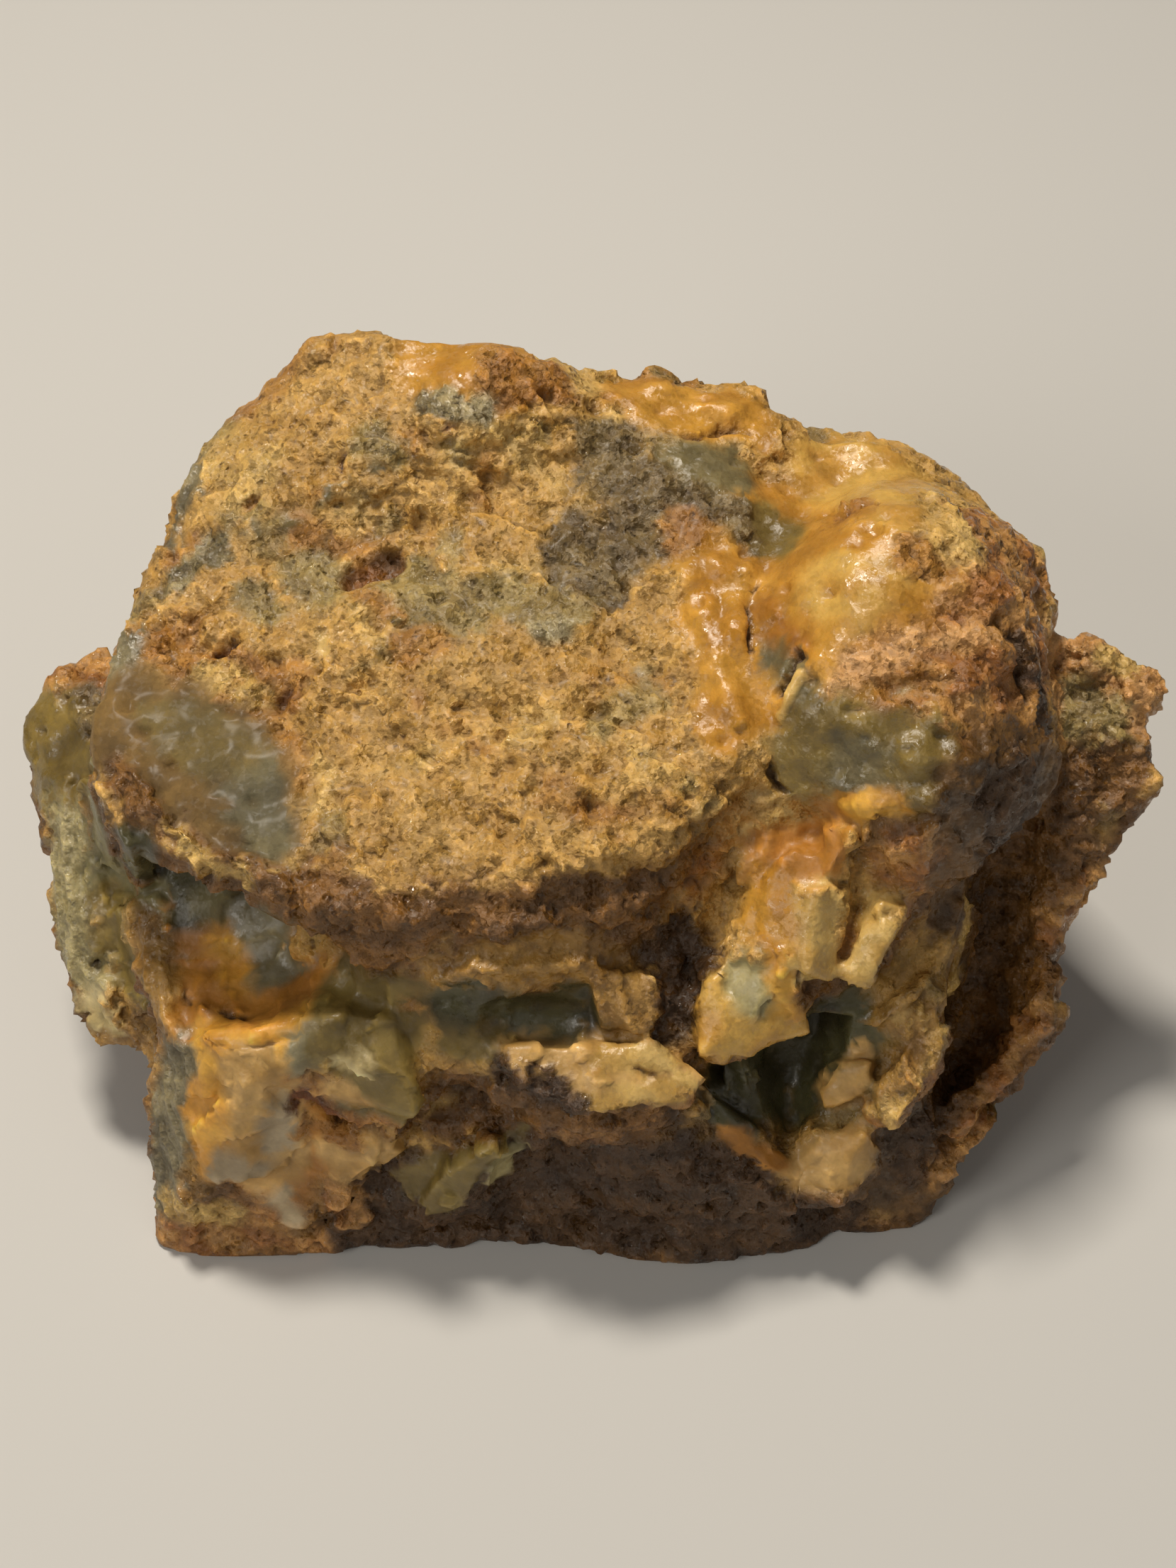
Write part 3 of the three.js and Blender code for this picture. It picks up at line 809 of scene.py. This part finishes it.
# %% [markdown]
# ## Relief
# Every kind of surface now gets its own unevenness, in mm along the normal. Crust is a coarse grain
# with pits, a little longer from side to side than from front to back, and rougher in some places than
# in others. Wax swells softly and has dimples. Glass has its planes and little else. Crumb is granular
# and lumpy, and leaf stands in thin layers.

# %% Relief of each kind
SIDEWAYS, SIDEWAYS_BIG = (1.2, 1, 1), (1.3, 1, 1)    # how the grain and the pits are stretched
ACROSS = np.array([0.80, -0.35, 0.49])  # the way across the layers of the leafy places
LEAF, THIN_LEAF = 2.2, 0.95         # thickness of the layers, in mm

coarse = grain(7, 20, octaves=2)
medium = grain(2.6, 21, octaves=3, stretch=SIDEWAYS)
fine = grain(1.25, 22, octaves=2)
uneven = 0.45 + 0.75 * step(-0.25, 0.35, grain(12, 24, octaves=2))

near, _, chance = cells(2.1, 1, stretch=SIDEWAYS)
pits = step(0.40, 0.12, near) * step(0.40, 0.55, chance)
few = step(0.55, 0.75, chance)      # the share of those pits that are dimples of the wax
near_big, _, chance_big = cells(5.5, 2, stretch=SIDEWAYS_BIG)
pits_big = step(0.28, 0.06, near_big) * step(0.6, 0.7, chance_big)
near_lump, second_lump, _ = cells(2.6, 3)
lumps = step(0.0, 0.45, second_lump - near_lump)

through = co @ ACROSS + 1.1 * warp[:, 0] + 0.5 * warp_fine[:, 1]
leaves = ((through / LEAF) % 1.0) ** 1.5
thin_leaves = (through / THIN_LEAF) % 1.0
leaf_height = grain(4, 23, octaves=2)

relief = (
    kind["crust"] * (0.45 * coarse + 0.22 * large - 1.2 * pits_big)
    + kind["crust"] * uneven * (0.5 * medium + 0.28 * fine + 0.45 * small - 0.6 * pits)
    + kind["wax"] * (0.55 * coarse + 0.2 * medium + 0.10 * small
                     - 0.6 * pits * few - 0.6 * pits_big)
    + kind["glass"] * (0.12 * coarse + 0.05 * medium + 0.22 * large + 0.06 * small)
    + kind["crumb"] * (0.4 * coarse + 0.35 * medium + 0.2 * fine + 0.3 * (lumps - 0.6)
                       + 0.25 * large + 0.5 * small)
    + kind["leaf"] * (0.3 * coarse + 0.4 * (leaves - 0.5) + 0.25 * (thin_leaves - 0.5)
                      + 0.25 * leaf_height + 0.05 * fine + 0.12 * small)
)
print("relief from", round(float(relief.min()), 2), "to", round(float(relief.max()), 2), "mm")

# %% [markdown]
# ## Pits, cracks and edges that stand out
# Some marks are too plain to leave to chance: the red-brown pit in the middle of the top, the slits
# round it, the crease between the top and the dome, the crack with its pale flake. Each is a line of
# places, a width and a depth, with a ragged rim and a darker colour inside: a red-brown or rust stain
# where the stone is stained, and painted shade in the crease and the deep slits, in brown and shadow brown.

# %% Cracks
CRACKS = [
    # width and depth in mm, finish inside, places
    (1.4, 1.9, "red brown", [(492, 815), (520, 806), (548, 800)]),
    (0.8, 1.5, "red brown", [(308, 916), (326, 902)]),
    (0.7, 1.0, "red brown", [(385, 998), (402, 985)]),
    (0.5, 1.1, "red brown", [(478, 640), (474, 662)]),
    (0.6, 1.0, "red brown", [(612, 618), (638, 604)]),
    (0.7, 0.8, "rust crust", [(350, 708), (362, 700)]),
    (0.5, 1.0, "brown", [(950, 612), (985, 618), (1020, 608), (1055, 612)]),
    (0.4, 0.8, "brown", [(815, 575), (850, 562), (885, 570)]),
    # painted shade along the crease beside the dome
    (0.4, 0.8, "brown", [(1068, 835), (1062, 900), (1056, 960)]),
    (0.4, 1.4, "shadow brown", [(1119, 929), (1108, 955), (1096, 980)]),
    (0.6, 1.3, "shadow brown", [(1080, 1090), (1100, 1105)]),
    (0.8, 1.2, "shadow brown", [(1432, 900), (1440, 940), (1450, 990)]),
    (0.6, 0.9, "rust crust", [(1225, 1000), (1260, 990), (1310, 1000)]),
    (0.5, 0.7, "rust crust", [(1280, 785), (1300, 800)]),
    (0.5, 0.7, "rust crust", [(1185, 722), (1205, 730)]),
    (1.0, 1.6, "red brown", [(415, 1548), (440, 1556), (480, 1580), (515, 1600)]),
    (0.5, 0.8, "red brown", [(905, 1514), (925, 1517)]),
    (0.4, 0.7, "shadow brown", [(263, 1390), (268, 1410)]),
    (0.6, 0.6, "shadow brown", [(310, 1424), (340, 1436)]),
    (0.7, 1.2, "shadow brown", [(158, 1198), (162, 1214)]),
    (0.5, 0.9, "brown", [(1133, 1372), (1136, 1430)]),
    (0.4, 0.5, "shadow brown", [(118, 1360), (140, 1364)]),
]
PALE_FLAKE = [(1124, 957), (1112, 985), (1101, 1014)]
PALE_EDGE, PALE_HEIGHT = (0.7, 0.3), 0.5    # mm where it ends, where it is whole, and how far it stands out
ragged = grain(1.6, 30)
for width, depth, finish, places in CRACKS:
    away = away_from(places, wander=0.5) + 0.5 * width * ragged
    relief -= depth * step(width * 1.3, width * 0.2, away)
    lay(finish, 0.85 * step(width * 1.2, width * 0.5, away))
flake = step(*PALE_EDGE, away_from(PALE_FLAKE, wander=0.3))
relief += PALE_HEIGHT * flake
lay("cream", flake)
print(len(CRACKS), "cracks cut")

# %% [markdown]
# ## Moving the skin
# The relief moves each corner along its smoothed normal, less along sharp edges and not at all on the
# ground. What would then reach past the solid's own box is put back on it, so that the stone stands
# flat and keeps its size.

# %% Move the corners
GROUND_EDGE = (1.2, 0.2)            # heights in mm where the relief starts to fade, and where it is gone


def put(places):
    """Moves the mesh's corners to these places, in mm, and returns their new normals."""
    mesh.vertices.foreach_set("co", (places * MM).astype(np.float32).ravel())
    mesh.update()
    return read_corners("normal")


outward = unit(blurred_rows(put(moved), 3))
low, high = np.array(cad_box[0]) / MM, np.array(cad_box[1]) / MM
on_ground = step(*GROUND_EDGE, co[:, 2])
moved += outward * (relief * calm * (1 - on_ground))[:, None]
moved = np.clip(moved, low, high)
put(moved)
print("moved by up to", round(float(np.linalg.norm(moved - co, axis=1).max()), 2), "mm")

# %% [markdown]
# ## Dirt, wear and painted light
# Clay and rust settle in the low places of a stone and its edges rub pale. The darkening of the low places
# is also painted shade, and the paler edges are also a painted highlight. The difference between the
# relief and its blurred self says which corners are low and which stand out.

# %% Colours of low and high places
# the colour of clay, and of the painted shade in the low places
CLAY_AND_SHADE = 0.7 * linear("5E4018")
DARKEST, PALEST = 0.004, 0.85
SHINIEST, DULLEST = 0.15, 0.9

middle = blurred_rows(moved, 5)
stands_out = ((moved - middle) * outward).sum(1)
hollow = step(0.02, 0.32, -stands_out)
ridge = step(0.03, 0.30, stands_out)
matte = kind["crust"] + kind["crumb"] + 0.6 * kind["leaf"] + 0.5 * kind["wax"] + 0.25 * kind["glass"]
# painted shade and clay: the low places are darkened towards that colour
clay_and_shade = (0.38 * hollow * matte)[:, None]
colour = colour * (1 - clay_and_shade) + CLAY_AND_SHADE * clay_and_shade
shade = ((0.16 * (kind["crust"] + kind["crumb"]) + 0.1 * kind["leaf"]) * (shade_small - 0.5)
         + 0.3 * kind["glass"] * (shade_large - 0.5))
# painted highlight and wear: the corners that stand out are made paler, glass edges most
wear_and_highlight = (0.4 + 0.15 * kind["glass"]) * ridge
colour = np.clip(colour * (1 + wear_and_highlight + shade)[:, None], DARKEST, PALEST)
rough = np.clip(rough + 0.15 * hollow - 0.08 * ridge, SHINIEST, DULLEST)
print("mean colour", colour.mean(0).round(3), "mean roughness", round(float(rough.mean()), 2))


# %% Keep them on the mesh
def store(name, values, kind_of="FLOAT"):
    """Keeps a value of every corner on the mesh, for the material to read."""
    layer = mesh.attributes.new(name, kind_of, "POINT")
    field = "color" if kind_of == "FLOAT_COLOR" else "value"
    layer.data.foreach_set(field, np.asarray(values, np.float32).ravel())


# the colour kept here holds the painted shade and highlight laid above, as well as the stone's own colours
store("stain_and_painted_light", np.column_stack((colour, np.ones(count))), "FLOAT_COLOR")
store("dullness", rough)
store("grit", kind["crust"] + kind["crumb"] + 0.4 * kind["leaf"] + 0.12 * kind["wax"])
print("kept on the mesh:", [name for name in ("stain_and_painted_light", "dullness", "grit") if name in mesh.attributes])

# %% [markdown]
# ## The material
# The mesh carries the broad colours. The material adds what is finer than the mesh: specks and pores in
# the gritty places, and tiny crystals. Small helpers make its nodes, so that the recipe below reads as
# a few sums.

# %% A material, and helpers that make its nodes
material = bpy.data.materials.new("jasper")
material.use_nodes = True
nodes, wires = material.node_tree.nodes, material.node_tree.links
shader = nodes["Principled BSDF"]
where = nodes.new("ShaderNodeTexCoord").outputs["Object"]


def feed(socket, value):
    """Gives a socket a constant, or wires it to what another node puts out."""
    if isinstance(value, bpy.types.NodeSocket):
        wires.new(value, socket)
    else:
        socket.default_value = value


def attribute(name, output="Fac"):
    """A value that was kept on the mesh."""
    node = nodes.new("ShaderNodeAttribute")
    node.attribute_name = name
    return node.outputs[output]


def ranged(value, low, high, to_low, to_high):
    """The value moved from one range to another, and held to it."""
    node = nodes.new("ShaderNodeMapRange")
    for name, number in zip(("From Min", "From Max", "To Min", "To Max"), (low, high, to_low, to_high)):
        node.inputs[name].default_value = number
    feed(node.inputs["Value"], value)
    return node.outputs["Result"]


def sums(operation, a, b):
    """A sum of two numbers."""
    node = nodes.new("ShaderNodeMath")
    node.operation = operation
    feed(node.inputs[0], a)
    feed(node.inputs[1], b)
    return node.outputs["Value"]


def vectors(operation, a, b):
    """A sum of two vectors."""
    node = nodes.new("ShaderNodeVectorMath")
    node.operation = operation
    feed(node.inputs[0], a)
    feed(node.inputs[1], b)
    return node.outputs["Vector"]


def blend(amount, a, b, how="MIX"):
    """One colour laid over another. The colours of this node are its inputs 6 and 7 and its output 2."""
    node = nodes.new("ShaderNodeMix")
    node.data_type, node.blend_type = "RGBA", how
    feed(node.inputs["Factor"], amount)
    feed(node.inputs[6], a)
    feed(node.inputs[7], b)
    return node.outputs[2]


def part(vector, name):
    """One of the three numbers of a vector."""
    node = nodes.new("ShaderNodeSeparateXYZ")
    feed(node.inputs["Vector"], vector)
    return node.outputs[name]


print("the stone's finish is", material.name)


# %% Specks, pores and crystals
def speckle(size, detail=3.0, roughness=0.6):
    """Noise of that grain size in mm."""
    node = nodes.new("ShaderNodeTexNoise")
    node.inputs["Scale"].default_value = 1 / (size * MM)
    node.inputs["Detail"].default_value = detail
    node.inputs["Roughness"].default_value = roughness
    feed(node.inputs["Vector"], where)
    return node.outputs["Fac"]


def crystals(size):
    """Cells of about that size in mm with bent sides, and a random vector for each."""
    bend = nodes.new("ShaderNodeTexNoise")
    bend.inputs["Scale"].default_value = 1 / (2 * size * MM)
    feed(bend.inputs["Vector"], where)
    stray = vectors("MULTIPLY", bend.outputs["Color"], (1.2 * size * MM,) * 3)
    node = nodes.new("ShaderNodeTexVoronoi")
    node.inputs["Scale"].default_value = 1 / (size * MM)
    feed(node.inputs["Vector"], vectors("ADD", where, stray))
    return vectors("SUBTRACT", node.outputs["Color"], (0.5, 0.5, 0.5))


SPECK, PORE, PORE_FIELD, CLOUD = 0.55, 1.0, 3.5, 2.4     # sizes in mm
CRYSTAL_FINE, CRYSTAL_COARSE = 0.4, 1.1
stain_and_painted_light, grit = attribute("stain_and_painted_light", "Color"), attribute("grit")
specks = speckle(SPECK, detail=4)
pore_cells = nodes.new("ShaderNodeTexVoronoi")
pore_cells.inputs["Scale"].default_value = 1 / (PORE * MM)
feed(pore_cells.inputs["Vector"], where)
pores = ranged(pore_cells.outputs["Distance"], 0.14, 0.34, 1, 0)
crystal = vectors("ADD", crystals(CRYSTAL_FINE), crystals(CRYSTAL_COARSE))
print("nodes so far:", len(nodes))

# %% [markdown]
# ## Colour
# The colour starts from the one kept on the mesh. Soft clouds lighten and darken it, specks and pores
# dot it where the stone is gritty, and every crystal has a shade of its own.

# %% Colour of the stone
DARK_SPECK = (0.45, 0.36, 0.28, 1)  # these three multiply the colour below
PALE_SPECK = (1.55, 1.65, 1.95, 1)
DARK_PORE = (0.30, 0.22, 0.16, 1)

dark_specks = sums("MULTIPLY", ranged(specks, 0.58, 0.72, 0, 0.25), grit)
pale_specks = sums("MULTIPLY", ranged(specks, 0.46, 0.34, 0, 0.4), grit)
porous = ranged(speckle(PORE_FIELD), 0.48, 0.60, 0, 0.6)
dark_pores = sums("MULTIPLY", sums("MULTIPLY", pores, porous), grit)
cloud = ranged(speckle(CLOUD), 0.35, 0.65, 0.88, 1.12)
tinted = blend(1.0, stain_and_painted_light, cloud, "MULTIPLY")
tinted = blend(dark_specks, tinted, DARK_SPECK, "MULTIPLY")
tinted = blend(pale_specks, tinted, blend(1.0, tinted, PALE_SPECK, "MULTIPLY"))
tinted = blend(dark_pores, tinted, DARK_PORE, "MULTIPLY")
shaded = blend(1.0, tinted, ranged(part(crystal, "Y"), -0.7, 0.7, 0.84, 1.18), "MULTIPLY")
tinted = blend(ranged(grit, 0, 1, 0.35, 1.0), tinted, shaded)
feed(shader.inputs["Base Color"], tinted)
print("nodes so far:", len(nodes))

# %% [markdown]
# ## Gloss and glints
# Broken quartz glints because its crystals lean different ways and some are smoother than others. So
# each crystal turns the normal a little its own way, and some get a lower roughness. A bump of a
# fraction of a millimetre is laid under that.

# %% Gloss, bump and lean
BUMP = 0.3 * MM
BUMP_GRAIN, BUMP_SWELL = 0.5, 1.3   # sizes in mm

gloss = sums("MULTIPLY", ranged(part(crystal, "X"), 0.12, 0.5, 0.04, -0.40), ranged(grit, 0, 1, 0.35, 1.0))
feed(shader.inputs["Roughness"], sums("ADD", attribute("dullness"), gloss))
bump = nodes.new("ShaderNodeBump")
bump.inputs["Distance"].default_value = BUMP
feed(bump.inputs["Strength"], ranged(grit, 0, 1, 0.15, 0.85))
height = sums("ADD", speckle(BUMP_GRAIN, detail=4), sums("MULTIPLY", speckle(BUMP_SWELL, detail=2), 0.8))
feed(bump.inputs["Height"], sums("SUBTRACT", height, sums("MULTIPLY", pores, 0.5)))
lean = vectors("MULTIPLY", crystal, ranged(grit, 0, 1, 0.1, 0.65))
leaning = vectors("ADD", bump.outputs["Normal"], lean)
feed(shader.inputs["Normal"], vectors("NORMALIZE", leaning, (0, 0, 0)))
print("nodes so far:", len(nodes))

# %% [markdown]
# ## Light in the stone
# Light sinks a little way into quartz, the red of it farthest, which is the waxy look. What is the same
# all over the stone is set on the shader itself.

# %% Constants of the shader
STONE = {
    "Subsurface Weight": 0.1,
    "Subsurface Radius": (1.0, 0.55, 0.2),
    "Subsurface Scale": 1.2 * MM,
    "Coat Weight": 0.05,
    "Coat Roughness": 0.2,
    "IOR": 1.54,                    # quartz
    "Specular IOR Level": 0.5,
}
for name, value in STONE.items():
    shader.inputs[name].default_value = value
stone.data.materials.clear()
stone.data.materials.append(material)
print("material nodes:", len(nodes))

# %% [markdown]
# ## A lighter mesh
# The flat resting face and the smooth fracture faces hold far more triangles than they need. Collapsing
# the edges that matter least keeps the relief and brings the count under what a part of the library may
# hold. The melt has also closed in a few bubbles between slab and stone, which nobody sees. They are
# loose pieces of a few corners each, and are taken out.

# %% Fewer triangles
TRIANGLES = 194_000
lighten = stone.modifiers.new("lighten", "DECIMATE")
lighten.ratio = TRIANGLES / triangles(mesh)
mesh = settle(stone)
print("light skin:", len(mesh.vertices), "corners,", triangles(mesh), "triangles")

# %% Take out the bubbles
BUBBLE = 1000                       # a loose piece with fewer corners than this is a bubble
bubbles = 0
skin = bmesh.new()
skin.from_mesh(mesh)
waiting = set(skin.verts)
while waiting:
    piece = [waiting.pop()]
    for corner in piece:            # the list grows while it is walked, until the whole piece is in it
        for edge in corner.link_edges:
            other = edge.other_vert(corner)
            if other in waiting:
                waiting.remove(other)
                piece.append(other)
    if len(piece) < BUBBLE:
        bmesh.ops.delete(skin, geom=piece, context="VERTS")
        bubbles += 1
skin.to_mesh(mesh)
skin.free()
for face in mesh.polygons:
    face.use_smooth = True
print(bubbles, "bubbles out;", len(mesh.vertices), "corners,", len(mesh.polygons), "faces left")

# %% The stone's place in the frame
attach(stone, "root")
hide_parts("jasper")
print(stone.name, "stands in for the solid")

# %% [markdown]
# ## Floor and light
# A pale floor and soft light show the stone plainly. The main light is warm and comes from behind the
# left shoulder, high up, so that it rakes over the top and every pit has its shadow. A broad fill from
# the front and a light from the left open the dark faces.

# %% Floor
FLOOR_SIZE = 1.5                    # half the length of its side, in m
FLOOR_COLOUR, FLOOR_ROUGHNESS = (0.62, 0.61, 0.59, 1), 0.8

floor_mesh = bmesh.new()
bmesh.ops.create_grid(floor_mesh, x_segments=1, y_segments=1, size=FLOOR_SIZE)
floor_data = bpy.data.meshes.new("floor")
floor_mesh.to_mesh(floor_data)
floor_mesh.free()
floor = bpy.data.objects.new("floor", floor_data)
scene.collection.objects.link(floor)
paper = bpy.data.materials.new("floor")
paper.use_nodes = True
paper.node_tree.nodes["Principled BSDF"].inputs["Base Color"].default_value = FLOOR_COLOUR
paper.node_tree.nodes["Principled BSDF"].inputs["Roughness"].default_value = FLOOR_ROUGHNESS
floor.data.materials.append(paper)
print("floor of", 2 * FLOOR_SIZE, "m")

# %% Lights
LIGHTS = [
    # name, place and size in m, power in W, tint
    ("main", (-0.10, 0.16, 0.60), 0.10, 3.1, (1.0, 0.92, 0.80)),
    ("fill", (0.40, -0.55, 0.50), 0.5, 0.5, (1.0, 0.96, 0.90)),
    ("left", (-0.45, -0.42, 0.45), 0.3, 1.5, (1.0, 0.95, 0.87)),
]
ROOM_TINT, ROOM_LIGHT = (1.0, 0.95, 0.87, 1), 0.09


def add_light(name, place, size, power, tint):
    """A square soft light that points at the middle of the stone."""
    lamp = bpy.data.lights.new(name, "AREA")
    lamp.size, lamp.energy, lamp.color = size, power, tint
    light = bpy.data.objects.new(name, lamp)
    light.location = place
    light.rotation_mode = "QUATERNION"
    light.rotation_quaternion = (AIM - Vector(place)).to_track_quat("-Z", "Y")
    scene.collection.objects.link(light)


for light in LIGHTS:
    add_light(*light)
world = bpy.data.worlds.new("room")
world.use_nodes = True
world.node_tree.nodes["Background"].inputs["Color"].default_value = ROOM_TINT
world.node_tree.nodes["Background"].inputs["Strength"].default_value = ROOM_LIGHT
scene.world = world
scene.view_settings.view_transform = "Standard"
print("lights:", [name for name, *_ in LIGHTS])
